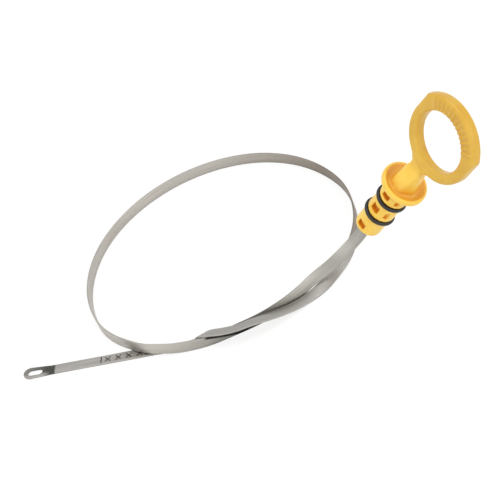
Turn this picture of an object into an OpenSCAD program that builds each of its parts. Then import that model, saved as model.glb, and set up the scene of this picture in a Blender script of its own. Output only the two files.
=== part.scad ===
// Engine oil dipstick: a yellow moulded pull ring and seal plug on a coiled spring steel strip.
// The strip stands on edge as one loop, its tip passed over and under the strand from the plug.
// Millimetres. The floor is Z = 0, and the origin is under the middle of the whole part.

/* [Strip] */
// Width of the steel strip
strip_w = 5; // [4:0.1:6]
// Thickness of the steel strip
strip_t = 0.7; // [0.5:0.05:1]
// Length of strip held inside the plug
root_len = 26; // [20:0.5:30]
// Diameter of the keying hole through the strip's root
key_hole_d = 2.4; // [1.5:0.1:3]
// Distance from the plug's mouth to the keying hole
key_at = 8; // [6.5:0.5:9]

/* [Coil] */
// Radius of the coiled loop
coil_r = 60; // [56:1:75]
// Air left between strands where one crosses over the other
strand_gap = 0.12; // [0.1:0.02:0.4]
// Direction of the straight tip stretch, from +X
tip_heading = 165; // [163:0.5:167]
// Length of the straight tip stretch
tip_len = 44.5; // [43:0.5:60]

/* [Level marks] */
// Distance from the eyelet bend to the first cross line
mark_start = 22; // [12:0.1:24]
// Length of the marked field
mark_len = 19.4; // [12:0.1:19.5]
// Number of crosses in the marked field
mark_crosses = 4; // [2:1:5]
// Depth of the stamped marks
mark_depth = 0.12; // [0.05:0.01:0.2]
// Width of one stamped line
mark_line = 0.55; // [0.3:0.05:0.7]
// Bare margin between the marks and the strip's edges
mark_margin = 0.6; // [0.3:0.1:1]

/* [Eyelet] */
// Length of the eyelet past its bend
eye_len = 11.6; // [10.4:0.2:14]
// Width of the eyelet
eye_w = 6.4; // [6:0.1:8]
// Length of the eyelet's hole
eye_hole_len = 6.4; // [5:0.1:7]
// Width of the eyelet's hole
eye_hole_w = 3.4; // [2.5:0.1:4]
// Steel left at the eyelet's round end
eye_wall = 1.8; // [1.2:0.1:2.4]
// Upward bend of the eyelet from the tip stretch, in degrees
eye_bend = 1; // [0.5:0.5:6]

/* [Plug] */
// Radius of the plug's plain nose
nose_r = 5.7; // [5.5:0.1:6.2]
// Rounding of the nose's end
nose_round = 1.2; // [0.5:0.1:1.8]
// Distance from the nose's end to the lower seal groove
groove_low = 11.1; // [10.8:0.1:12]
// Distance from the nose's end to the upper seal groove
groove_high = 21.6; // [20.8:0.1:22.4]
// Width of each seal groove
groove_w = 2.4; // [2:0.1:2.6]
// Radius of the lands beside the seals
land_r = 6; // [5.8:0.05:6.3]
// Width of the thin collar on each side of a seal groove
collar_w = 0.9; // [0.6:0.1:1.2]
// Radius at the bottom of each seal groove
groove_r = 5.08; // [4.9:0.02:5.2]

/* [Seals] */
// Thickness of an O-ring's section
seal_d = 1.78; // [1.5:0.02:1.9]

/* [Windows] */
// Width of the cored windows in the middle of the plug
window_w = 3.8; // [2.5:0.1:4.4]
// Depth of the middle windows, from the land inwards
window_depth = 2.6; // [1.5:0.1:3]
// Thickness of the ribs between the middle and the side windows
window_rib = 2.2; // [1.6:0.1:2.6]
// Distance from the nose's end to the nose window
window_at_nose = 2; // [1.6:0.1:3]
// Height of the nose window
window_h_nose = 3; // [2:0.1:3.4]
// Height of the windows between the seals
window_h_mid = 3.7; // [2.5:0.1:4.6]
// Height of the windows under the cap
window_h_top = 3; // [2:0.1:3.4]
// Drop of the windows under the cap, from the middle of their space towards the nose
window_drop = 1; // [0.8:0.1:1.2]
// Distance from the plug's middle plane to the side pockets
pocket_at = 2; // [1.8:0.1:2.4]
// Width of the side pockets
pocket_w = 1.8; // [1.2:0.1:2]

/* [Cap] */
// Radius of the cap
cap_r = 9.95; // [9.5:0.05:12]
// Thickness of the cap at its rim
cap_h = 3; // [2.7:0.1:4]
// Distance from the nose's end to the underside of the cap
cap_at = 31.2; // [30.6:0.1:34]
// Rounding of the rim
cap_round = 0.8; // [0.4:0.1:1.2]
// Width of the raised rim
rim_w = 1.7; // [1.2:0.1:2.4]
// Depth of the dish inside the rim
dish_depth = 1.5; // [0.5:0.1:2]

/* [Pull ring] */
// Radius of the finger hole
hole_r = 12.7; // [11.5:0.1:13.5]
// Width of the ring, from its hole to its outside
ring_w = 4.8; // [4.3:0.1:5.9]
// Further width of the broad grip at the far side
grip_w = 2.4; // [1.5:0.1:4]
// Thickness of the ring
ring_t = 5.4; // [4.4:0.1:6.5]
// Rounding of the ring's edges, as a share of its width
ring_softness = 0.3125; // [0.2:0.0125:0.35]
// Distance from the nose's end to the ring's centre
ring_at = 65.5; // [63:0.1:74]
// Half of the angle that the raised grip ribs cover
grip_angle = 50; // [30:1:54]
// Number of raised grip ribs on each face
grip_ribs = 13; // [7:1:15]
// Radius of one grip rib's crown
rib_r = 0.62; // [0.3:0.02:0.8]

/* [Neck] */
// Reach of the neck's foot along the ring's plane
foot_side = 6; // [5:0.1:6.4]
// Reach of the neck's foot across the ring's plane
foot_front = 6.9; // [5:0.1:7.2]
// Half of the flat ridge's width at the foot
foot_ridge = 0.9; // [0.5:0.1:1.5]
// Half of the neck's width where it meets the ring
neck_half_w = 3.7; // [3:0.1:5]
// Thickness of the neck where it meets the ring
neck_t = 3.9; // [3:0.1:3.9]
// Radius of the fillets between the neck and the ring
neck_fillet = 6; // [3:0.5:8]

/* [Pose of the handle] */
// Slope of the plug's axis above the floor
handle_lift = 45.5; // [43.5:0.5:47.5]
// Heading of the plug's axis, from +X
handle_heading = -36; // [-38:0.5:-34]
// Turn of the ring about the plug's axis
handle_roll = -32.5; // [-36:0.5:-29]

/* [Hidden] */
$fn = 64;
// Clearance all round the strip in its slot, and round the key in its hole
slot_fit = 0.05;
// Places of the coil's centre and of the floor point under the middle of the whole part
coil_centre = [-7, 14.2];
// Overlap used where a cutter runs past a surface or two solids of one piece join
over = 0.6;
// Smallest step that keeps two faces apart
hair = 0.01;
// Outsides of the ring and of its broad grip, and the rounding of their edges
ring_r = hole_r + ring_w;
grip_r = ring_r + grip_w;
ring_round = ring_softness * ring_w;
steel = [0.71, 0.69, 0.65];
amber = [0.97, 0.72, 0.16];
rubber = [0.07, 0.07, 0.07];

// Plain vector helpers
function unit(v) = v / norm(v);
function turn_z(p, a) = [p[0] * cos(a) - p[1] * sin(a), p[0] * sin(a) + p[1] * cos(a), p[2]];
function turn_y(p, a) = [p[0] * cos(a) + p[2] * sin(a), p[1], -p[0] * sin(a) + p[2] * cos(a)];

// Arc of points about c, from angle a to angle b
function arc(c, r, a, b, n = 6) = [for (i = [0:n]) c + r * [cos(a + (b - a) * i / n), sin(a + (b - a) * i / n)]];

// Rectangle from x0 to x1 and from -h/2 to h/2 with round corners
function round_box(x0, x1, h, r) = concat(
    arc([x1 - r, h / 2 - r], r, 0, 90, 4), arc([x0 + r, h / 2 - r], r, 90, 180, 4),
    arc([x0 + r, r - h / 2], r, 180, 270, 4), arc([x1 - r, r - h / 2], r, 270, 360, 4));

// Heights that the strands stand at: on edge, flat on the floor, and flat over a strand on edge, where
// the dip towards the coil's centre takes some more height
function edge(lean) = (strip_w * cos(lean) + strip_t * abs(sin(lean))) / 2;
on_edge = edge(0);
flat_down = strip_t / 2;
dip_rise = 0.086 * strip_w;
tilted_over = strip_w + strand_gap + strip_t / 2 + dip_rise;
// Lift of the strand that passes over the flat tip stretch
lifted = on_edge + strip_t + 1.5 * strand_gap;

// Mouth of the plug's slot, from the coil's centre: bearing, distance as a share of the coil's radius, height
mouth = [-37, 1.227, 4.72 * strip_w];
// Bearing and distance of the point where the straight tip stretch starts
tail = [-132.7, 1.007];

function spot(s) = [coil_r * s[1] * cos(s[0]), coil_r * s[1] * sin(s[0]), s[2]];
tail_start = spot([tail[0], tail[1], flat_down]);
tip_dir = [cos(tip_heading), sin(tip_heading), 0];

// Places along the strip from the plug's mouth: bearing from the coil's centre, distance as a share of
// the coil's radius, height of the strip's middle, and lean of its width from upright towards the centre
STATIONS = [
    // Down from the plug
    concat(mouth, -handle_roll), [-38, 1.128, 3.46 * strip_w, 29.5], [-39.6, 1.05, 2.58 * strip_w, 27],
    [-42.3, 0.983, 1.9 * strip_w, 25], [-46, 0.928, 1.44 * strip_w, 22],
    [-50.5, 0.885, 1.16 * strip_w, 19], [-55.2, 0.858, 0.96 * strip_w, 15],
    [-60.4, 0.846, 0.78 * strip_w, 11], [-71, 0.838, 0.58 * strip_w, 6],
    [-84, 0.852, edge(2) + 0.008 * strip_w, 2], [-98, 0.885, on_edge, 0], [-109, 0.938, on_edge, 0],
    [-118, 0.979, on_edge + 0.02 * strip_w, 0], [-123.5, 1.005, on_edge + 0.08 * strip_w, 0],
    [-128.5, 1.026, lifted, 0],
    // Round the loop, first over the flat strand on its way to the tip
    [-134, 1.044, lifted, 0], [-142, 1.049, lifted, 0], [-150, 1.048, on_edge + 0.08 * strip_w, -2],
    [-158, 1.042, edge(-4) + 0.008 * strip_w, -4], [-168, 1.022, edge(-6), -6],
    [-182, 0.995, edge(-7), -7], [-198, 0.973, edge(-6), -6], [-214, 0.966, edge(-3), -3],
    [-230, 0.972, on_edge, 0], [-246, 0.987, on_edge, 0], [-262, 1.007, on_edge, 0],
    [-279, 1.024, on_edge, 0], [-296, 1.027, on_edge, 0], [-313, 1.012, on_edge, 0],
    [-330, 0.99, on_edge, 0], [-347, 0.975, edge(1), 1], [-363, 0.958, edge(3), 3],
    [-376, 0.95, edge(8), 8], [-387, 0.943, edge(20), 20],
    // Back under the first strand, leaning over until it lies flat
    [-396, 0.934, 0.45 * strip_w, 38], [-404, 0.922, 0.356 * strip_w, 55],
    [-413, 0.916, 0.246 * strip_w, 70], [-421.5, 0.902, 0.216 * strip_w, 81],
    [-429, 0.899, 0.35 * strip_w, 87], [-436, 0.904, 0.6 * strip_w, 91],
    [-443, 0.917, 0.92 * strip_w, 94],
    // Up over the top edge of the first strand, dipping towards the centre
    [-449.5, 0.93, tilted_over, 97], [-456.5, 0.938, tilted_over, 99], [-462, 0.935, tilted_over, 99],
    [-468.2, 0.914, tilted_over + 0.01 * strip_w, 99],
    // Round the sharp bend, down behind the first strand, and flat on the floor towards the tip
    [-470.4, 0.908, tilted_over - 0.04 * strip_w, 105], [-473.1, 0.903, 0.72 * strip_w, 116],
    [-475.8, 0.914, 0.29 * strip_w, 106], [-478, 0.922, flat_down + 0.03 * strip_w, 93],
    [-481.1, 0.935, flat_down, 90], [-485.2, 0.954, flat_down, 90], [-489.1, 0.978, flat_down, 90]
];

ROUTE = concat([for (s = STATIONS) concat(spot(s), [s[3]])], [concat(tail_start, [90])]);

// Smooth curve through the route, with slopes weighted by the distances on both sides
LAST = len(ROUTE) - 1;
function place(i) = [for (k = [0:2]) ROUTE[i][k]];
GAPS = [for (i = [0:LAST - 1]) norm(place(i + 1) - place(i))];
mouth_dir = turn_z(turn_y([0, 0, -1], 90 - handle_lift), handle_heading);
function slope(i) = i == 0 ? concat(mouth_dir, [0])
    : i == LAST ? concat(tip_dir, [0])
    : ((ROUTE[i + 1] - ROUTE[i]) / GAPS[i] * GAPS[i - 1] + (ROUTE[i] - ROUTE[i - 1]) / GAPS[i - 1] * GAPS[i])
        / (GAPS[i] + GAPS[i - 1]);
SLOPES = [for (i = [0:LAST]) slope(i)];
function curve(i, t) = (2 * t ^ 3 - 3 * t ^ 2 + 1) * ROUTE[i] + (t ^ 3 - 2 * t ^ 2 + t) * GAPS[i] * SLOPES[i]
    + (3 * t ^ 2 - 2 * t ^ 3) * ROUTE[i + 1] + (t ^ 3 - t ^ 2) * GAPS[i] * SLOPES[i + 1];
// Longest step between two sections of the strip
step = 0.52 * strip_w;
TRACK = concat([for (i = [0:LAST - 1], n = ceil(GAPS[i] / step), j = [0:n - 1]) curve(i, j / n)], [ROUTE[LAST]]);
function at(i) = [for (k = [0:2]) TRACK[i][k]];
function heading(i) = i == 0 ? mouth_dir : i == len(TRACK) - 1 ? tip_dir : unit(at(i + 1) - at(i - 1));

// Corners of the strip's section at place i, square to its direction
function section(i) =
    let (t = heading(i), inward = unit([t[1], -t[0], 0]), upward = cross(inward, t), lean = TRACK[i][3],
        w = upward * cos(lean) + inward * sin(lean), n = cross(t, w))
    [for (c = [[-1, -1], [1, -1], [1, 1], [-1, 1]]) at(i) + w * c[0] * strip_w / 2 + n * c[1] * strip_t / 2];
function moved(corners, v) = [for (c = corners) c + v];

// The strip from its root inside the plug, round the loop, to the end of the straight tip stretch
module coiled_strip() {
    last = len(TRACK) - 1;
    sections = concat([moved(section(0), -root_len * mouth_dir)], [for (i = [0:last]) section(i)],
        [moved(section(last), (tip_len - over / 2) * tip_dir)]);
    end = 4 * (len(sections) - 1);
    sides = [for (i = [0:len(sections) - 2], k = [0:3]) let (a = 4 * i + k, b = 4 * i + (k + 1) % 4)
        each [[a, b + 4, b], [a, a + 4, b + 4]]];
    polyhedron(points = [for (s = sections) each s],
        faces = concat([[0, 1, 2, 3]], sides, [[for (k = [3:-1:0]) end + k]]));
}

// Moves the straight tip stretch, drawn along +X on its middle plane, to its place
module at_tail() {
    translate(tail_start) rotate([0, 0, tip_heading]) children();
}

// One stamped line, drawn along Y
module stamped_line(length) {
    translate([-mark_line / 2, -length / 2, strip_t / 2 - mark_depth]) cube([mark_line, length, over]);
}

// Chain of crosses between two cross lines
module level_marks() {
    field = strip_w - 2 * mark_margin;
    first = tip_len - mark_start;
    pitch = (mark_len - 2 * mark_line) / mark_crosses;
    for (x = [first, first - mark_len]) translate([x, 0, 0]) stamped_line(field);
    // Each arm stops a little short of its neighbours and of the field's edges
    arm_width = 0.72 * pitch;
    arm_len = 0.92 * field;
    for (i = [0:mark_crosses - 1], side = [-1, 1])
        translate([first - mark_line - pitch * (i + 0.5), 0, 0])
            rotate([0, 0, side * atan(arm_width / field)]) stamped_line(arm_len);
}

// Flat eyelet with a slot-shaped hole, bent up a little from the end of the tip stretch
module eyelet() {
    flare = (eye_w - strip_w) / 2;
    end_x = eye_len - eye_w / 2;
    hole_r1 = eye_hole_w / 2;
    hole_end = eye_len - eye_wall - hole_r1;
    hole_start = hole_end - eye_hole_len + eye_hole_w;
    far = eye_len + over;
    rise = far * tan(eye_bend);
    side_view = [[-over, -strip_t / 2], [0, -strip_t / 2], [far, rise - strip_t / 2], [far, rise + strip_t / 2],
        [0, strip_t / 2], [-over, strip_t / 2]];
    outline = concat([[-over, -strip_w / 2], [0, -strip_w / 2], [2 * flare, -strip_w / 2 - flare / 4]],
        arc([end_x, 0], eye_w / 2, -90, 90, 16),
        [[2 * flare, strip_w / 2 + flare / 4], [0, strip_w / 2], [-over, strip_w / 2]]);
    translate([tip_len, 0, 0]) difference() {
        intersection() {
            rotate([90, 0, 0]) linear_extrude(2 * eye_w, center = true) polygon(side_view);
            linear_extrude(4 * eye_w, center = true) polygon(outline);
        }
        linear_extrude(4 * eye_w, center = true)
            polygon(concat(arc([hole_end, 0], hole_r1, -90, 90, 12), arc([hole_start, 0], hole_r1, 90, 270, 12)));
    }
}

// Moves a solid drawn on the plug's own axis to the plug's place, its nose's end at the mouth
module at_mouth() {
    translate(spot(mouth)) rotate([0, 90 - handle_lift, handle_heading]) rotate([0, 0, handle_roll]) children();
}

// Hole through the strip's root, which lies in the ring's own plane, the local XZ plane
module key_hole() {
    translate([0, 0, key_at]) rotate([90, 0, 0]) cylinder(d = key_hole_d, h = 4 * strip_t, center = true);
}

module blade() {
    color(steel) translate([coil_centre[0], coil_centre[1], 0]) difference() {
        union() {
            coiled_strip();
            at_tail() eyelet();
        }
        at_mouth() key_hole();
        at_tail() level_marks();
    }
}

// Half profile of the plug and cap, turned about the axis
function groove(at) = [
    [land_r, at - groove_w / 2 - collar_w], [land_r, at - groove_w / 2], [groove_r, at - groove_w / 2],
    [groove_r, at + groove_w / 2], [land_r, at + groove_w / 2], [land_r, at + groove_w / 2 + collar_w]];
cap_top = cap_at + cap_h;
module plug_and_cap() {
    dish_r = cap_r - rim_w;
    rotate_extrude() polygon(concat(
        [[0, 0]], arc([nose_r - nose_round, nose_round], nose_round, -90, 0, 5),
        [[nose_r, groove_low - groove_w / 2 - collar_w]], groove(groove_low), groove(groove_high),
        [[land_r, cap_at]], arc([cap_r - cap_round, cap_at + cap_round], cap_round, -90, 0, 5),
        arc([cap_r - rim_w / 2, cap_top - rim_w / 2], rim_w / 2, 0, 180, 8),
        [[dish_r - dish_depth, cap_top - dish_depth], [0, cap_top - dish_depth]]));
}

// Cored windows on the ring's two faces: a middle window, and a pocket beyond the rib on each side of it
module windows() {
    side_in = window_w / 2 + window_rib;
    floor_y = land_r - window_depth;
    mid_gap = (groove_low + groove_high) / 2;
    top_gap = (groove_high + groove_w / 2 + cap_at) / 2;
    for (face = [0, 180]) rotate([0, 0, face]) {
        for (w = [[window_at_nose, window_h_nose],
                  [mid_gap - window_h_mid / 2, window_h_mid],
                  [top_gap - window_drop - window_h_top / 2, window_h_top]])
            translate([-window_w / 2, floor_y, w[0]]) cube([window_w, window_depth + over, w[1]]);
        for (side = [0, 1], w = [[mid_gap, window_h_mid], [top_gap - window_drop, window_h_top]])
            mirror([side, 0, 0]) translate([side_in, pocket_at, w[0] - w[1] / 2])
                cube([land_r - side_in + over, pocket_w, w[1]]);
    }
}

// Slot for the strip's root, with the key left standing across it
module slot() {
    w = strip_w + 2 * slot_fit;
    t = strip_t + 2 * slot_fit;
    difference() {
        translate([-w / 2, -t / 2, -over]) cube([w, t, root_len + slot_fit + over]);
        translate([0, 0, key_at]) rotate([90, 0, 0])
            cylinder(d = key_hole_d - 2 * slot_fit, h = 4 * strip_t, center = true);
    }
}

// The ring lies in the local XZ plane, so it is drawn flat and stood up, its far side towards +Y of the drawing
module stand_ring() {
    translate([0, 0, ring_at]) rotate([90, 0, 0]) children();
}

module pull_ring() {
    stand_ring() difference() {
        union() {
            rotate_extrude() polygon(round_box(hole_r, ring_r, ring_t, ring_round));
            intersection() {
                rotate_extrude() polygon(round_box(hole_r, grip_r, ring_t, ring_round));
                rotate([-90, 0, 0]) linear_extrude(grip_r + over)
                    polygon(round_box(-ring_r, ring_r, ring_t, ring_round));
            }
            grip_ribs_both();
        }
        // The ribs' inner ends stop a hair inside the finger hole's wall
        cylinder(r = hole_r - hair, h = 3 * ring_t, center = true);
    }
}

// Raised ribs across the grip, on both faces and over the outer edge
module grip_ribs_both() {
    rib_start = hole_r + ring_round / 2;
    rib_sink = rib_r / 3;
    for (i = [0:grip_ribs - 1], face = [-1, 1])
        rotate([0, 0, 90 - grip_angle + 2 * grip_angle * i / (grip_ribs - 1)])
            translate([rib_start, 0, face * (ring_t / 2 - rib_sink)])
                rotate([0, 90, 0]) cylinder(r = rib_r, h = grip_r - ring_round - rib_start, $fn = 16);
}

// Neck: a four-edged foot in the dish that draws in to a flat bar, and a flared web into the ring
module neck() {
    sunk = over / 2;
    slab = sunk + 10 * hair;
    foot_z = cap_top - dish_depth - sunk;
    bar_z = ring_at - ring_r - neck_fillet / 2;
    hull() {
        translate([0, 0, foot_z]) linear_extrude(slab)
            polygon([[foot_side, 0], [foot_ridge, foot_front], [-foot_ridge, foot_front], [-foot_side, 0],
                     [-foot_ridge, -foot_front], [foot_ridge, -foot_front]]);
        translate([0, 0, bar_z]) linear_extrude(slab)
            square([2 * neck_half_w, neck_t], center = true);
    }
    stand_ring() linear_extrude(neck_t, center = true) polygon(web(bar_z - ring_at));
}

// Outline of the web: up the bar from y = bottom, and round a fillet on each side into the ring
function web(bottom) =
    let (seat = ring_r - ring_round / 2, cx = neck_half_w + neck_fillet, cy = -sqrt((seat + neck_fillet) ^ 2 - cx ^ 2),
        right = arc([cx, cy], neck_fillet, 180, atan2(-cy, -cx), 8))
    concat([[-neck_half_w, bottom], [neck_half_w, bottom]], right, [[0, -hole_r - ring_round]],
        [for (i = [len(right) - 1:-1:0]) [-right[i][0], right[i][1]]]);

module handle() {
    color(amber) translate([coil_centre[0], coil_centre[1], 0]) at_mouth() difference() {
        union() {
            plug_and_cap();
            neck();
            pull_ring();
        }
        windows();
        slot();
    }
}

// O-ring seated on the bottom of its groove
module o_ring(at) {
    color(rubber) translate([coil_centre[0], coil_centre[1], 0]) at_mouth() translate([0, 0, at])
        rotate_extrude() translate([groove_r + seal_d / 2, 0]) circle(d = seal_d);
}
module o_ring_lower() { o_ring(groove_low); }
module o_ring_upper() { o_ring(groove_high); }

handle();
blade();
o_ring_lower();
o_ring_upper();
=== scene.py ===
import math

import bmesh
import bpy
from mathutils import Matrix, Vector


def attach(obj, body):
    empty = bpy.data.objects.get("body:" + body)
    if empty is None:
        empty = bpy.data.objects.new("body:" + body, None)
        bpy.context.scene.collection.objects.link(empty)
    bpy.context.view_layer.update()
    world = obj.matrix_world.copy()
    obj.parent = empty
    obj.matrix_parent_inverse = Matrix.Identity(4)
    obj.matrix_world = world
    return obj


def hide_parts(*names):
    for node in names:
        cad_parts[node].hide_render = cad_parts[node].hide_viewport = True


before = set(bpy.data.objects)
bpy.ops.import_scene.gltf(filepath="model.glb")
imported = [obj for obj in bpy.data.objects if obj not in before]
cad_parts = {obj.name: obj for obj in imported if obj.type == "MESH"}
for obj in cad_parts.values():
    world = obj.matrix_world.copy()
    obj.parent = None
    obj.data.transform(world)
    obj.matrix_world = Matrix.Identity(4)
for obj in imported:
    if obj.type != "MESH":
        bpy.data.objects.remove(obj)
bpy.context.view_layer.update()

MM = 0.001


# Colour and node helpers
def linear(hex_code):
    """sRGB hex such as "f0b040" to linear RGBA."""
    parts = [int(hex_code[i:i + 2], 16) / 255 for i in (0, 2, 4)]
    return [c / 12.92 if c <= 0.04045 else ((c + 0.055) / 1.055) ** 2.4 for c in parts] + [1.0]


def set_stops(elements, stops):
    """Gives a colour ramp its stops, each a place and a hex."""
    while len(elements) < len(stops):
        elements.new(0.5)
    for element, (place, colour) in zip(elements, stops):
        element.position = place
        element.color = linear(colour)


def add_node(tree, kind, settings=None, links=None):
    """One node. settings maps a socket's name or number, a property, or a ramp's "stops" to its value,
    and links maps a socket to the output that feeds it."""
    node = tree.nodes.new(kind)
    for key, value in (settings or {}).items():
        if key == "stops":
            set_stops(node.color_ramp.elements, value)
        elif isinstance(key, int) or (key in node.inputs and not hasattr(node, key)):
            node.inputs[key].default_value = value
        else:
            setattr(node, key, value)
    for key, output in (links or {}).items():
        tree.links.new(output, node.inputs[key])
    return node


def empty_tree(owner):
    """Node tree of a material or world, with nothing in it."""
    owner.use_nodes = True
    owner.node_tree.nodes.clear()
    return owner.node_tree


def new_material(name, shader_settings):
    """Material with an empty tree but for its Principled shader. Returns material, tree, shader."""
    material = bpy.data.materials.new(name)
    tree = empty_tree(material)
    shader = add_node(tree, "ShaderNodeBsdfPrincipled", shader_settings)
    add_node(tree, "ShaderNodeOutputMaterial", links={"Surface": shader.outputs[0]})
    return material, tree, shader


# The handle's own axes and places, as the part's source gives them, in millimetres and degrees
LIFT, HEADING, ROLL = math.radians(45.5), math.radians(-36.0), math.radians(-32.5)
COIL_R = 60.0
COIL_CENTRE = Vector((-7.0, 14.2, 0.0))
MOUTH = (-37.0, 1.227, 23.6)
ROOT_LEN = 26.0
RING_AT, RING_R, RING_ROUND = 65.5, 17.5, 1.5
NECK_HALF_W, NECK_T, NECK_FILLET = 3.7, 3.9, 6.0
DISH_Z, RIM_TOP = 32.7, 34.2


def spot(bearing, share, height):
    """Point at a bearing and a share of the coil's radius from the coil's centre, in millimetres."""
    turn = math.radians(bearing)
    return COIL_CENTRE + Vector((COIL_R * share * math.cos(turn), COIL_R * share * math.sin(turn), height))


HANDLE = (Matrix.Translation(spot(*MOUTH) * MM) @ Matrix.Rotation(HEADING, 4, "Z")
          @ Matrix.Rotation(math.pi / 2 - LIFT, 4, "Y") @ Matrix.Rotation(ROLL, 4, "Z"))
AXIS = (HANDLE.to_3x3() @ Vector((0, 0, 1))).normalized()

# The camera, at the photograph's view: seen from 37 degrees above, rolled 20 degrees, from 1.5 m away
VIEW_UP, VIEW_ROLL, VIEW_FIELD = math.radians(37.0), math.radians(20.0), math.radians(8.0081)
VIEW_FAR = 1.5
TARGET = (COIL_CENTRE + Vector((10.38, -1.72, 0.0))) * MM


def add_camera():
    level_right = Vector((1, 0, 0))
    level_up = Vector((0, math.sin(VIEW_UP), math.cos(VIEW_UP)))
    back = Vector((0, -math.cos(VIEW_UP), math.sin(VIEW_UP)))
    right = math.cos(VIEW_ROLL) * level_right - math.sin(VIEW_ROLL) * level_up
    up = math.sin(VIEW_ROLL) * level_right + math.cos(VIEW_ROLL) * level_up
    data = bpy.data.cameras.new("photo_camera")
    data.angle = VIEW_FIELD
    data.clip_start = 0.05
    data.clip_end = 10
    camera = bpy.data.objects.new("photo_camera", data)
    turned = Matrix((right, up, back)).transposed().to_4x4()
    camera.matrix_world = Matrix.Translation(TARGET + VIEW_FAR * back) @ turned
    bpy.context.scene.collection.objects.link(camera)
    bpy.context.scene.camera = camera


# The strip's route, as in the part's source: bearing, share of the coil's radius, height and lean in
# degrees. Only the sharp bend, from bearing -468 to -473, lies about half a millimetre lower and
# further out here, so that the turns close up
STRIP_W, STRIP_T, STRIP_EDGE_R, GAP = 5.0, 0.7, 0.12, 0.12
TIP_HEADING, TIP_LEN = math.radians(165.0), 44.5
TIP_DIR = Vector((math.cos(TIP_HEADING), math.sin(TIP_HEADING), 0.0))
EYE_W = 6.4


def edge(lean):
    """Height of the strip's middle where it stands on the floor with that lean."""
    turn = math.radians(lean)
    return (STRIP_W * math.cos(turn) + STRIP_T * abs(math.sin(turn))) / 2


ON_EDGE = edge(0)
FLAT = STRIP_T / 2
TILTED = STRIP_W + GAP + STRIP_T / 2 + 0.43
LIFTED = ON_EDGE + STRIP_T + 1.5 * GAP
TAIL = (-132.7, 1.007, FLAT)
STATIONS = [
    (*MOUTH, 32.5), (-38, 1.128, 17.3, 29.5), (-39.6, 1.05, 12.9, 27), (-42.3, 0.983, 9.5, 25),
    (-46, 0.928, 7.2, 22), (-50.5, 0.885, 5.8, 19), (-55.2, 0.858, 4.8, 15), (-60.4, 0.846, 3.9, 11),
    (-71, 0.838, 2.9, 6), (-84, 0.852, edge(2) + 0.04, 2), (-98, 0.885, ON_EDGE, 0),
    (-109, 0.938, ON_EDGE, 0), (-118, 0.979, ON_EDGE + 0.1, 0), (-123.5, 1.005, ON_EDGE + 0.4, 0),
    (-128.5, 1.026, LIFTED, 0), (-134, 1.044, LIFTED, 0), (-142, 1.049, LIFTED, 0),
    (-150, 1.048, ON_EDGE + 0.4, -2), (-158, 1.042, edge(-4) + 0.04, -4), (-168, 1.022, edge(-6), -6),
    (-182, 0.995, edge(-7), -7), (-198, 0.973, edge(-6), -6), (-214, 0.966, edge(-3), -3),
    (-230, 0.972, ON_EDGE, 0), (-246, 0.987, ON_EDGE, 0), (-262, 1.007, ON_EDGE, 0),
    (-279, 1.024, ON_EDGE, 0), (-296, 1.027, ON_EDGE, 0), (-313, 1.012, ON_EDGE, 0),
    (-330, 0.99, ON_EDGE, 0), (-347, 0.975, edge(1), 1), (-363, 0.958, edge(3), 3),
    (-376, 0.95, edge(8), 8), (-387, 0.943, edge(20), 20), (-396, 0.934, 2.25, 38),
    (-404, 0.922, 1.78, 55), (-413, 0.916, 1.23, 70), (-421.5, 0.902, 1.08, 81),
    (-429, 0.899, 1.75, 87), (-436, 0.904, 3, 91), (-443, 0.917, 4.6, 94),
    (-449.5, 0.93, TILTED, 97), (-456.5, 0.938, TILTED, 99), (-462, 0.935, TILTED, 99),
    (-468.2, 0.92, TILTED - 0.4, 103), (-470.4, 0.916, TILTED - 0.8, 108), (-473.1, 0.904, 3.6, 116),
    (-475.8, 0.914, 1.45, 106), (-478, 0.922, FLAT + 0.15, 93), (-481.1, 0.935, FLAT, 90),
    (-485.2, 0.954, FLAT, 90), (-489.1, 0.978, FLAT, 90),
]
# The sharp bend is folded in flats, so it keeps the source's own long steps
STEP, FOLD_STEP = 1.0, 2.6
BEND_START, BEND_END = -468.2, -478.0
# Straight steps of the root inside the plug
ROOT_STEPS = 8


def strip_route():
    """Points (Vector in mm, lean in degrees) along the strip, from its root to the start of the tip."""
    rows = [[*spot(*station[:3]), station[3]] for station in STATIONS] + [[*spot(*TAIL), 90.0]]
    count = len(rows)
    gaps = [math.dist(rows[i][:3], rows[i + 1][:3]) for i in range(count - 1)]

    def slope(i):
        if i == 0:
            return [*(-AXIS), 0.0]
        if i == count - 1:
            return [*TIP_DIR, 0.0]
        before, after = gaps[i - 1], gaps[i]
        return [((rows[i + 1][k] - rows[i][k]) / after * before
                 + (rows[i][k] - rows[i - 1][k]) / before * after) / (before + after) for k in range(4)]

    slopes = [slope(i) for i in range(count)]
    route = []
    for i in range(count - 1):
        folded = i < len(STATIONS) and BEND_END <= STATIONS[i][0] <= BEND_START
        pieces = math.ceil(gaps[i] / (FOLD_STEP if folded else STEP))
        for j in range(pieces):
            t = j / pieces
            weights = (2 * t ** 3 - 3 * t ** 2 + 1, (t ** 3 - 2 * t ** 2 + t) * gaps[i],
                       3 * t ** 2 - 2 * t ** 3, (t ** 3 - t ** 2) * gaps[i])
            row = [weights[0] * rows[i][k] + weights[1] * slopes[i][k] + weights[2] * rows[i + 1][k]
                   + weights[3] * slopes[i + 1][k] for k in range(4)]
            route.append((Vector(row[:3]), row[3]))
    mouth, tail = Vector(rows[0][:3]), Vector(rows[-1][:3])
    root = [(mouth + AXIS * ROOT_LEN * (1 - j / ROOT_STEPS), rows[0][3]) for j in range(ROOT_STEPS)]
    return root + route + [(tail, 90.0)]


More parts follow.
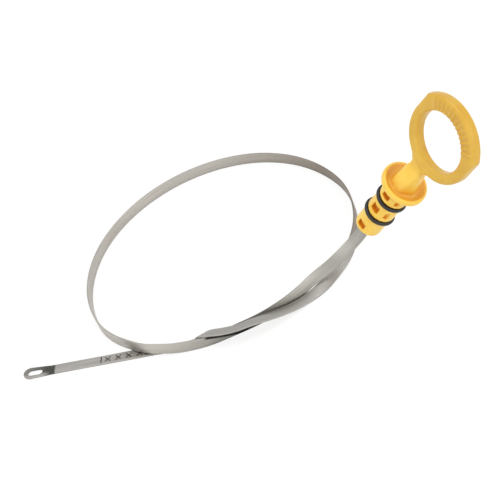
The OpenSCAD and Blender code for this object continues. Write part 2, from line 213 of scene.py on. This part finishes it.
def strip_sweep_tree():
    """Sweeps a round-edged flat section along the path, upright but for the path's own lean. The pieces'
    attributes run and across say how far along the strip and across it a point lies."""
    tree = bpy.data.node_groups.new("strip_sweep", "GeometryNodeTree")
    face = tree.interface
    face.new_socket("Path", in_out="INPUT", socket_type="NodeSocketGeometry")
    for name in ("Width", "Thickness", "Edge Radius"):
        face.new_socket(name, in_out="INPUT", socket_type="NodeSocketFloat")
    face.new_socket("Steel", in_out="INPUT", socket_type="NodeSocketMaterial")
    face.new_socket("Strip", in_out="OUTPUT", socket_type="NodeSocketGeometry")
    sizes = add_node(tree, "NodeGroupInput").outputs
    lean = add_node(tree, "GeometryNodeInputNamedAttribute", {"data_type": "FLOAT", "Name": "lean"})
    path = add_node(tree, "GeometryNodeMeshToCurve", links={"Mesh": sizes["Path"]})
    upright = add_node(tree, "GeometryNodeSetCurveNormal", {"mode": "Z_UP"}, {"Curve": path.outputs[0]})
    leaned = add_node(tree, "GeometryNodeSetCurveTilt",
                      links={"Curve": upright.outputs[0], "Tilt": lean.outputs[0]})
    flat = add_node(tree, "GeometryNodeCurvePrimitiveQuadrilateral",
                    links={"Width": sizes["Thickness"], "Height": sizes["Width"]})
    rounded = add_node(tree, "GeometryNodeFilletCurve", {"mode": "POLY", "Count": 3},
                       {"Curve": flat.outputs[0], "Radius": sizes["Edge Radius"]})
    position = add_node(tree, "GeometryNodeInputPosition").outputs[0]
    place = add_node(tree, "ShaderNodeSeparateXYZ", links={0: position})
    marked = add_node(tree, "GeometryNodeStoreNamedAttribute",
                      {"data_type": "FLOAT", "domain": "POINT", "Name": "across"},
                      {"Geometry": rounded.outputs[0], "Value": place.outputs["Y"]})
    swept = add_node(tree, "GeometryNodeCurveToMesh", {"Fill Caps": True},
                     {"Curve": leaned.outputs[0], "Profile Curve": marked.outputs[0]})
    real = add_node(tree, "GeometryNodeRealizeInstances", links={0: swept.outputs[0]})
    finished = add_node(tree, "GeometryNodeSetMaterial",
                        links={"Geometry": real.outputs[0], "Material": sizes["Steel"]})
    add_node(tree, "NodeGroupOutput", links={"Strip": finished.outputs[0]})
    return tree


def set_inputs(modifier, values):
    """Sets a Geometry Nodes modifier's inputs by their names, through their sockets' identifiers."""
    for item in modifier.node_group.interface.items_tree:
        if item.item_type == "SOCKET" and item.in_out == "INPUT" and item.name in values:
            modifier[item.identifier] = values[item.name]


def merged_copy(node):
    """Copy of a CAD node's mesh with its loose triangles joined up."""
    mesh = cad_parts[node].data.copy()
    weld = bmesh.new()
    weld.from_mesh(mesh)
    bmesh.ops.remove_doubles(weld, verts=weld.verts, dist=1e-6)
    weld.to_mesh(mesh)
    weld.free()
    return mesh


def made_mesh(source):
    """Plain mesh of an object with its modifiers applied. The object is removed."""
    bpy.context.view_layer.update()
    graph = bpy.context.evaluated_depsgraph_get()
    mesh = bpy.data.meshes.new_from_object(source.evaluated_get(graph), depsgraph=graph)
    bpy.data.objects.remove(source)
    return mesh


def add_object(name, data):
    made = bpy.data.objects.new(name, data)
    bpy.context.scene.collection.objects.link(made)
    return made


def add_piece(name, mesh, materials, node, sharp_angle):
    """Finished piece of the object in the CAD node's place, smooth but for its real edges."""
    mesh.materials.clear()
    for material in materials:
        mesh.materials.append(material)
    mesh.shade_smooth()
    mesh.set_sharp_from_angle(angle=math.radians(sharp_angle))
    piece = add_object(name, mesh)
    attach(piece, "root")
    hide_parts(node)


# The strip and its tip
def add_coiled_strip(steel):
    """The one long strip, from inside the plug, once round the coil and over itself, to the tip."""
    route = strip_route()
    path = bpy.data.meshes.new("strip_path")
    links = [(i, i + 1) for i in range(len(route) - 1)]
    path.from_pydata([point * MM for point, _ in route], links, [])
    lean = path.attributes.new("lean", "FLOAT", "POINT")
    run = path.attributes.new("run", "FLOAT", "POINT")
    travelled = 0.0
    for i, (point, degrees) in enumerate(route):
        travelled += (point - route[i - 1][0]).length * MM if i else 0.0
        lean.data[i].value = math.radians(degrees)
        run.data[i].value = travelled
    holder = add_object("strip_path", path)
    sweep = holder.modifiers.new("sweep", "NODES")
    sweep.node_group = strip_sweep_tree()
    set_inputs(sweep, {"Width": STRIP_W * MM, "Thickness": STRIP_T * MM, "Edge Radius": STRIP_EDGE_R * MM,
                       "Steel": steel})
    add_piece("coiled_strip", made_mesh(holder), [steel], "blade", 20.0)


TIP_PLACE = Matrix.Translation(spot(*TAIL) * MM) @ Matrix.Rotation(TIP_HEADING, 4, "Z")
# Length of strip before the straight tip in metres, where the coil's own run leaves off
TIP_RUN = 0.51
EDGE_WEAR = 0.05


def cut_to_tip(mesh):
    """Leaves only the blade's straight tip and eyelet, in the tip's own frame, closed at the cut end."""
    half_w, half_t = (EYE_W / 2 + 0.1) * MM, STRIP_T * MM
    cut = bmesh.new()
    cut.from_mesh(mesh)

    def in_tip(point):
        return point.x > -0.01 * MM and abs(point.y) < half_w and abs(point.z) < half_t

    spare = [face for face in cut.faces if not all(in_tip(vertex.co) for vertex in face.verts)]
    bmesh.ops.delete(cut, geom=spare, context="FACES")
    bmesh.ops.dissolve_limit(cut, angle_limit=math.radians(0.4), verts=cut.verts, edges=cut.edges)
    bmesh.ops.holes_fill(cut, edges=cut.edges, sides=0)
    bmesh.ops.recalc_face_normals(cut, faces=cut.faces)
    cut.to_mesh(mesh)
    cut.free()


def add_tip(steel, stamped):
    """Straight tip with its stamped level marks, and the slotted eyelet at its end, with worn edges."""
    mesh = merged_copy("blade")
    mesh.transform(TIP_PLACE.inverted())
    cut_to_tip(mesh)
    source = add_object("tip_source", mesh)
    worn = source.modifiers.new("worn_edges", "BEVEL")
    worn.width = EDGE_WEAR * MM
    worn.segments = 2
    worn.limit_method = "ANGLE"
    worn.angle_limit = math.radians(50)
    mesh = made_mesh(source)
    run = mesh.attributes.new("run", "FLOAT", "POINT")
    across = mesh.attributes.new("across", "FLOAT", "POINT")
    for i, vertex in enumerate(mesh.vertices):
        run.data[i].value = TIP_RUN + vertex.co.x
        across.data[i].value = vertex.co.y
    # The marks' floors and walls lie below the strip's top and inside its edges
    inner_w, inner_len, top = (STRIP_W / 2 - 0.3) * MM, (TIP_LEN - 1) * MM, (STRIP_T / 2 - 0.02) * MM
    marks = []
    for face in mesh.polygons:
        x, y, z = face.center
        if abs(y) < inner_w and 0.5 * MM < x < inner_len and 0 < z < top:
            marks.append(face.index)
    mesh.transform(TIP_PLACE)
    add_piece("tip_with_eyelet", mesh, [steel, stamped], "blade", 40.0)
    for index in marks:
        mesh.polygons[index].material_index = 1


# The moulding, in millimetres. The foot is a six-sided outline, the web gains half its swell on each
# face, and the soft blend of the neck fades out below the ring and over the cap's rim
FOOT_SIDE, FOOT_RIDGE, FOOT_FRONT = 6.0, 2.9, 6.5
WEB_SWELL, WEB_STEPS = 1.24, 10
BLEND_END, BLEND_FADE, RIM_INNER_R, RIM_SHARE = 54.0, 3.0, 8.9, 0.3
VOXEL = 0.3
SOFT_PASSES, NECK_PASSES = 3, 50


def add_foot(shapes, neck_start):
    """The neck's flat-faced foot: a hull from the dish up to the narrow neck."""
    outline = ((FOOT_SIDE, 0), (FOOT_RIDGE, FOOT_FRONT), (-FOOT_RIDGE, FOOT_FRONT), (-FOOT_SIDE, 0),
               (-FOOT_RIDGE, -FOOT_FRONT), (FOOT_RIDGE, -FOOT_FRONT))
    foot = [(x, y, DISH_Z - 0.3) for x, y in outline]
    neck = [(x, y, neck_start + 0.5) for x in (-NECK_HALF_W, NECK_HALF_W) for y in (-NECK_T / 2, NECK_T / 2)]
    hull = [shapes.verts.new(HANDLE @ (Vector(point) * MM)) for point in foot + neck]
    made = bmesh.ops.convex_hull(shapes, input=hull)
    inside = [item for item in made["geom_interior"] if isinstance(item, bmesh.types.BMVert)]
    bmesh.ops.delete(shapes, geom=inside, context="VERTS")


def add_web(shapes, neck_start):
    """The web that carries the neck into the ring in two fillets, and thickens on its way."""
    centre_x = NECK_HALF_W + NECK_FILLET
    seat = RING_R - RING_ROUND / 2
    centre_z = -math.sqrt((seat + NECK_FILLET) ** 2 - centre_x ** 2)
    start, end = 180.0, math.degrees(math.atan2(-centre_z, -centre_x))
    rows = [(NECK_HALF_W, neck_start - 4.0)]
    for i in range(WEB_STEPS + 1):
        turn = math.radians(start + (end - start) * i / WEB_STEPS)
        rows.append((centre_x + NECK_FILLET * math.cos(turn),
                     RING_AT + centre_z + NECK_FILLET * math.sin(turn)))
    low, high = rows[0][1], rows[-1][1]
    levels = []
    for half_w, z in rows:
        share = (z - low) / (high - low)
        half_t = (NECK_T + WEB_SWELL * share ** 1.3) / 2
        corners = ((-half_w, -half_t), (half_w, -half_t), (half_w, half_t), (-half_w, half_t))
        levels.append([shapes.verts.new(HANDLE @ (Vector((x, y, z)) * MM)) for x, y in corners])
    shapes.faces.new(levels[0][::-1])
    shapes.faces.new(levels[-1])
    for below, above in zip(levels, levels[1:]):
        for k in range(4):
            shapes.faces.new((below[k], below[(k + 1) % 4], above[(k + 1) % 4], above[k]))


def neck_share(point):
    """How far a point, in the plug's own frame in mm, belongs to the softly blended neck and dish."""
    x, y, z = point
    if math.hypot(x, z - RING_AT) < RING_R + 0.6:
        return 0.0
    above_dish = min(max(z - DISH_Z + 0.7, 0.0), 1.0)
    below_ring = min(max((BLEND_END - z) / BLEND_FADE, 0.0), 1.0)
    on_rim = math.hypot(x, y) > RIM_INNER_R and z < RIM_TOP + 1.8
    return above_dish * below_ring * (RIM_SHARE if on_rim else 1.0)


def add_moulding(plastic):
    """The one-piece moulding: a copy of the frame's handle, its corners softened as a mould leaves them,
    and its neck and dish blended with far larger radii."""
    mesh = merged_copy("handle")
    neck_start = RING_AT - RING_R - NECK_FILLET / 2
    shapes = bmesh.new()
    shapes.from_mesh(mesh)
    add_foot(shapes, neck_start)
    add_web(shapes, neck_start)
    shapes.to_mesh(mesh)
    shapes.free()
    source = add_object("moulding_source", mesh)
    remesh = source.modifiers.new("even", "REMESH")
    remesh.mode = "VOXEL"
    remesh.voxel_size = VOXEL * MM
    soften = source.modifiers.new("soften", "SMOOTH")
    soften.factor = 0.5
    soften.iterations = SOFT_PASSES
    source = add_object("moulding_even", made_mesh(source))
    to_plug = HANDLE.inverted()
    group = source.vertex_groups.new(name="neck")
    for vertex in source.data.vertices:
        group.add([vertex.index], neck_share(to_plug @ vertex.co / MM), "REPLACE")
    blended = source.modifiers.new("blended", "SMOOTH")
    blended.factor = 0.5
    blended.iterations = NECK_PASSES
    blended.vertex_group = "neck"
    add_piece("pull_ring_and_plug", made_mesh(source), [plastic], "handle", 60.0)


def add_seal(node, rubber):
    """O-ring: a copy of the frame's ring with smooth shading."""
    add_piece("seal_" + node.split("_")[-1], merged_copy(node), [rubber], node, 60.0)


# Materials
def moulded_acetal():
    """Acetal resin coloured amber, injection moulded. It gives a waxy gloss over a faint mould grain, and
    a little light passes through its thin walls. Its hollows are painted a deeper orange and its grooves a
    darker brown as painted shade, and its plug paler than its ring as painted light and shade."""
    material, tree, shader = new_material("moulded_acetal", {
        "Roughness": 0.32, "IOR": 1.48, "Subsurface Weight": 0.18, "Subsurface Scale": 0.0012,
        "Subsurface Radius": (1.0, 0.55, 0.12)})
    local = add_node(tree, "ShaderNodeTexCoord").outputs["Object"]
    # Flow in the mould changes the shade over about 8 mm
    flow = add_node(tree, "ShaderNodeTexNoise", {"Scale": 1 / 0.008, "Detail": 3.0, "Roughness": 0.55},
                    {"Vector": local}).outputs["Fac"]
    pale = add_node(tree, "ShaderNodeValToRGB", {"stops": [(0.3, "edc045"), (0.7, "f7d159")]}, {0: flow})
    rich = add_node(tree, "ShaderNodeValToRGB", {"stops": [(0.3, "d0a130"), (0.7, "d8ae3e")]}, {0: flow})
    # The plug and neck are painted paler and the ring darker, as painted light and shade; the ring starts 48
    # mm up from the mouth
    along = add_node(tree, "ShaderNodeVectorMath", {"operation": "DOT_PRODUCT", 1: AXIS}, {0: local})
    neck_end = AXIS.dot(spot(*MOUTH) * MM) + 0.048
    ring_share = add_node(tree, "ShaderNodeMapRange", {"From Min": neck_end - 0.005, "From Max": neck_end + 0.005},
                     {"Value": along.outputs["Value"]}).outputs[0]
    shade = add_node(tree, "ShaderNodeMix", {"data_type": "RGBA"},
                     {0: ring_share, 6: pale.outputs[0], 7: rich.outputs[0]}).outputs[2]
    # Hollows within 7 mm and creases within 1.4 mm are painted a deeper orange, as painted shade
    hollow = add_node(tree, "ShaderNodeAmbientOcclusion", {"Distance": 0.007, "samples": 8})
    deep = add_node(tree, "ShaderNodeMapRange",
                    {"From Min": 0.3, "From Max": 1.0, "To Min": 1.0, "To Max": 0.0},
                    {"Value": hollow.outputs["AO"]}).outputs[0]
    crease = add_node(tree, "ShaderNodeAmbientOcclusion", {"Distance": 0.0014, "samples": 8})
    sharp = add_node(tree, "ShaderNodeMapRange",
                     {"From Min": 0.6, "From Max": 0.97, "To Min": 1.0, "To Max": 0.0},
                     {"Value": crease.outputs["AO"]}).outputs[0]
    shade_share = add_node(tree, "ShaderNodeMath", {"operation": "MAXIMUM"}, {0: deep, 1: sharp}).outputs[0]
    orange_shade = add_node(tree, "ShaderNodeMix", {"data_type": "RGBA", 7: linear("dc8a12")},
                       {0: shade_share, 6: shade}).outputs[2]
    # The ring's grooves and creases are painted a darker brown, as painted shade
    groove_shade = add_node(tree, "ShaderNodeMath", {"operation": "MULTIPLY"}, {0: sharp, 1: ring_share}).outputs[0]
    groove_shaded = add_node(tree, "ShaderNodeMix", {"data_type": "RGBA", 7: linear("8c5c14")},
                      {0: groove_shade, 6: orange_shade}).outputs[2]
    tree.links.new(groove_shaded, shader.inputs["Base Color"])
    # Mould grain, drawn at 0.5 mm so that it shows
    grain = add_node(tree, "ShaderNodeTexNoise", {"Scale": 1 / 0.0005, "Detail": 2.0}, {"Vector": local})
    bump = add_node(tree, "ShaderNodeBump", {"Strength": 0.12, "Distance": 0.00005},
                    {"Height": grain.outputs["Fac"]})
    tree.links.new(bump.outputs[0], shader.inputs["Normal"])
    return material


# Colours of the strip, and where they stand along it in millimetres from its root: the mill's grey, a
# # paler grey over most of the coil, a darker patch of painted shade where the first turn passes behind the
# last, and a darker brown on the far side
MILL_GREY, STRAW_GREY, BEHIND_TURN_SHADE, BROWN, TIP_GREY = "b2b0a9", "c8c3bc", "807e78", "998f85", "b9b6b1"
TEMPER = [(0, MILL_GREY), (72, MILL_GREY), (86, BEHIND_TURN_SHADE), (90, BEHIND_TURN_SHADE), (104, MILL_GREY), (135, STRAW_GREY),
          (290, STRAW_GREY), (345, BROWN), (395, BROWN), (412, TIP_GREY), (560, TIP_GREY)]
# Length of the whole strip in metres
STRIP_LEN = 0.57
# Stretch of the first turn that the last one lies on, in metres along the strip
COVER_START, COVER_END = 0.098, 0.112
# Where the eyelet's painted dark reflection starts, its hole and its end, in metres along the strip
EYE_DARK_START, EYE_HOLE, EYE_END = TIP_RUN + 0.0425, TIP_RUN + 0.0475, TIP_RUN + 0.0545


def under_turn_shade(tree, run, across):
    """Where the last turn lies over the first, a wedge of painted shade runs along the first one's upper
    side:
    it covers the whole width at one end and runs out to a line at the other."""
    wedge = add_node(tree, "ShaderNodeMapRange",
                     {"From Min": COVER_START, "From Max": COVER_END, "To Min": 0.0032, "To Max": -0.0007},
                     {"Value": run})
    above = add_node(tree, "ShaderNodeMath", {"operation": "SUBTRACT"}, {0: wedge.outputs[0], 1: across})
    inside = add_node(tree, "ShaderNodeMapRange", {"From Min": 0.0, "From Max": 0.0006},
                      {"Value": above.outputs[0]})
    starts = add_node(tree, "ShaderNodeMapRange",
                      {"From Min": COVER_START - 0.009, "From Max": COVER_START - 0.002}, {"Value": run})
    ends = add_node(tree, "ShaderNodeMapRange",
                    {"From Min": COVER_END + 0.002, "From Max": COVER_END + 0.0005}, {"Value": run})
    stretch = add_node(tree, "ShaderNodeMath", {"operation": "MULTIPLY"},
                       {0: starts.outputs[0], 1: ends.outputs[0]})
    slit_shade = add_node(tree, "ShaderNodeMath", {"operation": "MULTIPLY"},
                    {0: stretch.outputs[0], 1: inside.outputs[0]})
    return slit_shade.outputs[0]


def eyelet_dark_reflection(tree, run, across):
    """The eyelet is painted dark from a sharp line on, as a painted reflection that fades towards the end and
    is weaker on one arm.
    """
    past_start = add_node(tree, "ShaderNodeMapRange",
                    {"From Min": EYE_DARK_START - 0.0003, "From Max": EYE_DARK_START + 0.0003}, {"Value": run})
    worn = add_node(tree, "ShaderNodeMapRange",
                    {"From Min": EYE_DARK_START + 0.0035, "From Max": EYE_END, "To Min": 1.0, "To Max": 0.45},
                    {"Value": run})
    arm = add_node(tree, "ShaderNodeMapRange",
                   {"From Min": 0.0008, "From Max": 0.0018, "To Min": 1.0, "To Max": 0.1}, {"Value": across})
    beside = add_node(tree, "ShaderNodeMapRange", {"From Min": EYE_HOLE - 0.003, "From Max": EYE_HOLE},
                      {"Value": run})
    on_arms = add_node(tree, "ShaderNodeMix", {"data_type": "FLOAT", 2: 1.0},
                       {0: beside.outputs[0], 3: arm.outputs[0]})
    left = add_node(tree, "ShaderNodeMath", {"operation": "MULTIPLY"},
                    {0: past_start.outputs[0], 1: worn.outputs[0]})
    dark_share = add_node(tree, "ShaderNodeMath", {"operation": "MULTIPLY"},
                     {0: left.outputs[0], 1: on_arms.outputs[0]})
    return dark_share.outputs[0]


def tempered_steel():
    """Cold rolled spring steel, tempered. It gives a satin grey with fine lines along the rolling direction,
    colours that change slowly along the strip, a patch of painted shade where the first turn passes behind
    the last, painted shade in the gaps between turns and under the last turn, and a painted dark reflection
    on the eyelet."""
    material, tree, shader = new_material("tempered_spring_steel", {"Metallic": 1.0})
    run = add_node(tree, "ShaderNodeAttribute", {"attribute_name": "run"}).outputs["Fac"]
    across = add_node(tree, "ShaderNodeAttribute", {"attribute_name": "across"}).outputs["Fac"]
    strip_place = add_node(tree, "ShaderNodeCombineXYZ", links={"X": run, "Y": across}).outputs[0]
    # Rolling lines: about 0.25 mm apart across the strip and 25 mm long
    stretched = add_node(tree, "ShaderNodeMapping", {"Scale": (1 / 0.025, 1 / 0.00025, 1.0)},
                         {"Vector": strip_place})
    lines = add_node(tree, "ShaderNodeTexNoise", {"Scale": 1.0, "Detail": 4.0, "Roughness": 0.6},
                     {"Vector": stretched.outputs[0]}).outputs["Fac"]
    # Uneven shade: slow bands about 45 mm long
    banded = add_node(tree, "ShaderNodeMapping", {"Scale": (1 / 0.045, 1 / 0.02, 1.0)},
                      {"Vector": strip_place})
    bands = add_node(tree, "ShaderNodeTexNoise", {"Scale": 1.0, "Detail": 2.0},
                     {"Vector": banded.outputs[0]})
    band_shade = add_node(tree, "ShaderNodeValToRGB",
                          {"stops": [(0.3, "efeff0"), (0.5, "f8f8f8"), (0.7, "ffffff")]},
                          {0: bands.outputs["Fac"]})
    travelled = add_node(tree, "ShaderNodeMath", {"operation": "DIVIDE", 1: STRIP_LEN}, {0: run})
    temper = add_node(tree, "ShaderNodeValToRGB",
                      {"stops": [(place * MM / STRIP_LEN, colour) for place, colour in TEMPER]},
                      {0: travelled.outputs[0]})
    shaded = add_node(tree, "ShaderNodeMix", {"data_type": "RGBA", "blend_type": "MULTIPLY", 0: 1.0},
                      {6: temper.outputs[0], 7: band_shade.outputs[0]})
    # Painted shade in a wedge under the last turn
    slit_shaded = add_node(tree, "ShaderNodeMix", {"data_type": "RGBA", 7: linear("33312e")},
                       {0: under_turn_shade(tree, run, across), 6: shaded.outputs[2]})
    line_shade = add_node(tree, "ShaderNodeValToRGB",
                          {"stops": [(0.35, "c9c9c9"), (0.65, "ffffff")]}, {0: lines})
    lined = add_node(tree, "ShaderNodeMix", {"data_type": "RGBA", "blend_type": "MULTIPLY", 0: 0.6},
                     {6: slit_shaded.outputs[2], 7: line_shade.outputs[0]})
    # Gaps of less than 3 mm are painted darker, as painted shade
    gap = add_node(tree, "ShaderNodeAmbientOcclusion", {"Distance": 0.003, "samples": 8})
    gap_shade = add_node(tree, "ShaderNodeValToRGB",
                     {"stops": [(0.08, "34312d"), (0.28, "a09c96"), (0.42, "eeeeee"), (0.6, "ffffff")]},
                     {0: gap.outputs["AO"]})
    gap_shaded = add_node(tree, "ShaderNodeMix", {"data_type": "RGBA", "blend_type": "MULTIPLY", 0: 1.0},
                      {6: lined.outputs[2], 7: gap_shade.outputs[0]})
    # Painted dark reflection on the eyelet
    eyelet_darkened = add_node(tree, "ShaderNodeMix", {"data_type": "RGBA", 7: linear("4f4f4a")},
                        {0: eyelet_dark_reflection(tree, run, across), 6: gap_shaded.outputs[2]})
    tree.links.new(eyelet_darkened.outputs[2], shader.inputs["Base Color"])
    rough = add_node(tree, "ShaderNodeMapRange", {"To Min": 0.36, "To Max": 0.52}, {"Value": lines})
    tree.links.new(rough.outputs[0], shader.inputs["Roughness"])
    bump = add_node(tree, "ShaderNodeBump", {"Strength": 0.15, "Distance": 0.00003}, {"Height": lines})
    tree.links.new(bump.outputs[0], shader.inputs["Normal"])
    return material


def stamped_mark():
    """Floor of a stamped line. It is steel darkened by old oil, so it looks dull and uneven."""
    material, tree, shader = new_material("stamped_mark", {"Metallic": 0.6, "Roughness": 0.6})
    local = add_node(tree, "ShaderNodeTexCoord").outputs["Object"]
    # Uneven staining about 0.4 mm across
    stain = add_node(tree, "ShaderNodeTexNoise", {"Scale": 1 / 0.0004, "Detail": 3.0}, {"Vector": local})
    shade = add_node(tree, "ShaderNodeValToRGB", {"stops": [(0.35, "3a332c"), (0.7, "6d655d")]},
                     {0: stain.outputs["Fac"]})
    tree.links.new(shade.outputs[0], shader.inputs["Base Color"])
    return material


def nitrile_rubber():
    """Moulded nitrile rubber. It is near black, with a soft sheen and a bloom of dust."""
    material, tree, shader = new_material("nitrile_rubber", {"IOR": 1.52})
    local = add_node(tree, "ShaderNodeTexCoord").outputs["Object"]
    # Bloom in patches of about 2 mm
    bloom = add_node(tree, "ShaderNodeTexNoise", {"Scale": 1 / 0.002, "Detail": 4.0},
                     {"Vector": local}).outputs["Fac"]
    shade = add_node(tree, "ShaderNodeValToRGB", {"stops": [(0.35, "0d0c0b"), (0.7, "1f1d1b")]}, {0: bloom})
    tree.links.new(shade.outputs[0], shader.inputs["Base Color"])
    rough = add_node(tree, "ShaderNodeMapRange", {"To Min": 0.3, "To Max": 0.5}, {"Value": bloom})
    tree.links.new(rough.outputs[0], shader.inputs["Roughness"])
    bump = add_node(tree, "ShaderNodeBump", {"Strength": 0.1, "Distance": 0.00003}, {"Height": bloom})
    tree.links.new(bump.outputs[0], shader.inputs["Normal"])
    return material


# Floor, room and lamps
# What the camera sees of the sheet is its own glow, a strength just short of white, and a little of
# the light on it, so that the shadow stays faint
FLOOR_SHADOW, FLOOR_GLOW = 0.22, 0.8
# Half the sheet's side in metres, and how far it lies below the object in millimetres
FLOOR_HALF, FLOOR_DROP = 3.0, 0.05
LAMP_AIM = Vector((0.02, 0, 0.02))


def ray_kinds(tree):
    """Two factors: 1 for a camera ray, and 1 for a ray that comes off a gloss or clear surface."""
    rays = add_node(tree, "ShaderNodeLightPath").outputs
    mirrored = add_node(tree, "ShaderNodeMath", {"operation": "MAXIMUM"},
                        {0: rays["Is Glossy Ray"], 1: rays["Is Transmission Ray"]})
    return rays["Is Camera Ray"], mirrored.outputs[0]


def add_floor():
    """Large pale sheet. The camera and the metal see it as white, and it keeps a faint shadow."""
    material = bpy.data.materials.new("white_sheet")
    tree = empty_tree(material)
    camera_ray, mirrored_ray = ray_kinds(tree)
    paper = add_node(tree, "ShaderNodeBsdfDiffuse", {"Color": linear("dcdcdc")})
    mirrored_paper = add_node(tree, "ShaderNodeBsdfDiffuse", {"Color": linear("f4f4f4")})
    mirrored_glow = add_node(tree, "ShaderNodeEmission", {"Strength": 0.12})
    mirrored = add_node(tree, "ShaderNodeAddShader",
                        links={0: mirrored_paper.outputs[0], 1: mirrored_glow.outputs[0]})
    unseen = add_node(tree, "ShaderNodeMixShader",
                      links={0: mirrored_ray, 1: paper.outputs[0], 2: mirrored.outputs[0]})
    catcher = add_node(tree, "ShaderNodeBsdfDiffuse", {"Color": (FLOOR_SHADOW,) * 3 + (1.0,)})
    glow = add_node(tree, "ShaderNodeEmission", {"Strength": FLOOR_GLOW})
    seen = add_node(tree, "ShaderNodeAddShader", links={0: catcher.outputs[0], 1: glow.outputs[0]})
    both = add_node(tree, "ShaderNodeMixShader",
                    links={0: camera_ray, 1: unseen.outputs[0], 2: seen.outputs[0]})
    add_node(tree, "ShaderNodeOutputMaterial", links={"Surface": both.outputs[0]})
    mesh = bpy.data.meshes.new("floor")
    sides = ((-1, -1), (1, -1), (1, 1), (-1, 1))
    corners = [(x * FLOOR_HALF, y * FLOOR_HALF, -FLOOR_DROP * MM) for x, y in sides]
    mesh.from_pydata(corners, [], [(0, 1, 2, 3)])
    mesh.materials.append(material)
    add_object("floor", mesh)


def add_world():
    """White room: soft light on the object from all sides, and plain white to the camera. The metal
    mirrors it a little brighter than it lights."""
    world = bpy.data.worlds.new("studio")
    bpy.context.scene.world = world
    tree = empty_tree(world)
    room = add_node(tree, "ShaderNodeBackground", {"Color": (1.0, 1.0, 0.98, 1.0), "Strength": 0.89})
    white = add_node(tree, "ShaderNodeBackground", {"Strength": 1.0})
    mirrored_room = add_node(tree, "ShaderNodeBackground", {"Color": (1.0, 1.0, 1.0, 1.0), "Strength": 0.97})
    camera_ray, mirrored_ray = ray_kinds(tree)
    unseen = add_node(tree, "ShaderNodeMixShader",
                      links={0: mirrored_ray, 1: room.outputs[0], 2: mirrored_room.outputs[0]})
    seen = add_node(tree, "ShaderNodeMixShader",
                    links={0: camera_ray, 1: unseen.outputs[0], 2: white.outputs[0]})
    add_node(tree, "ShaderNodeOutputWorld", links={"Surface": seen.outputs[0]})


def add_lamp(name, place, size, power):
    """Round soft lamp at a place in metres, turned to the object."""
    data = bpy.data.lights.new(name, "AREA")
    data.shape = "DISK"
    data.size = size
    data.energy = power
    lamp = bpy.data.objects.new(name, data)
    place = Vector(place)
    turned = (place - LAMP_AIM).to_track_quat("Z", "Y").to_matrix().to_4x4()
    lamp.matrix_world = Matrix.Translation(place) @ turned
    bpy.context.scene.collection.objects.link(lamp)


add_camera()
steel = tempered_steel()
add_coiled_strip(steel)
add_tip(steel, stamped_mark())
add_moulding(moulded_acetal())
rubber = nitrile_rubber()
add_seal("o_ring_lower", rubber)
add_seal("o_ring_upper", rubber)
add_floor()
add_world()
# Two soft lamps low on the viewer's side, the right one stronger, and one overhead
add_lamp("left_lamp", (-0.85, -0.85, 0.3), 1.1, 2.8)
add_lamp("right_lamp", (0.85, -0.85, 0.3), 1.1, 4.3)
add_lamp("top_lamp", (0, 0, 1.25), 0.8, 2.8)

bpy.context.scene.view_settings.view_transform = "Standard"

bpy.context.view_layer.update()
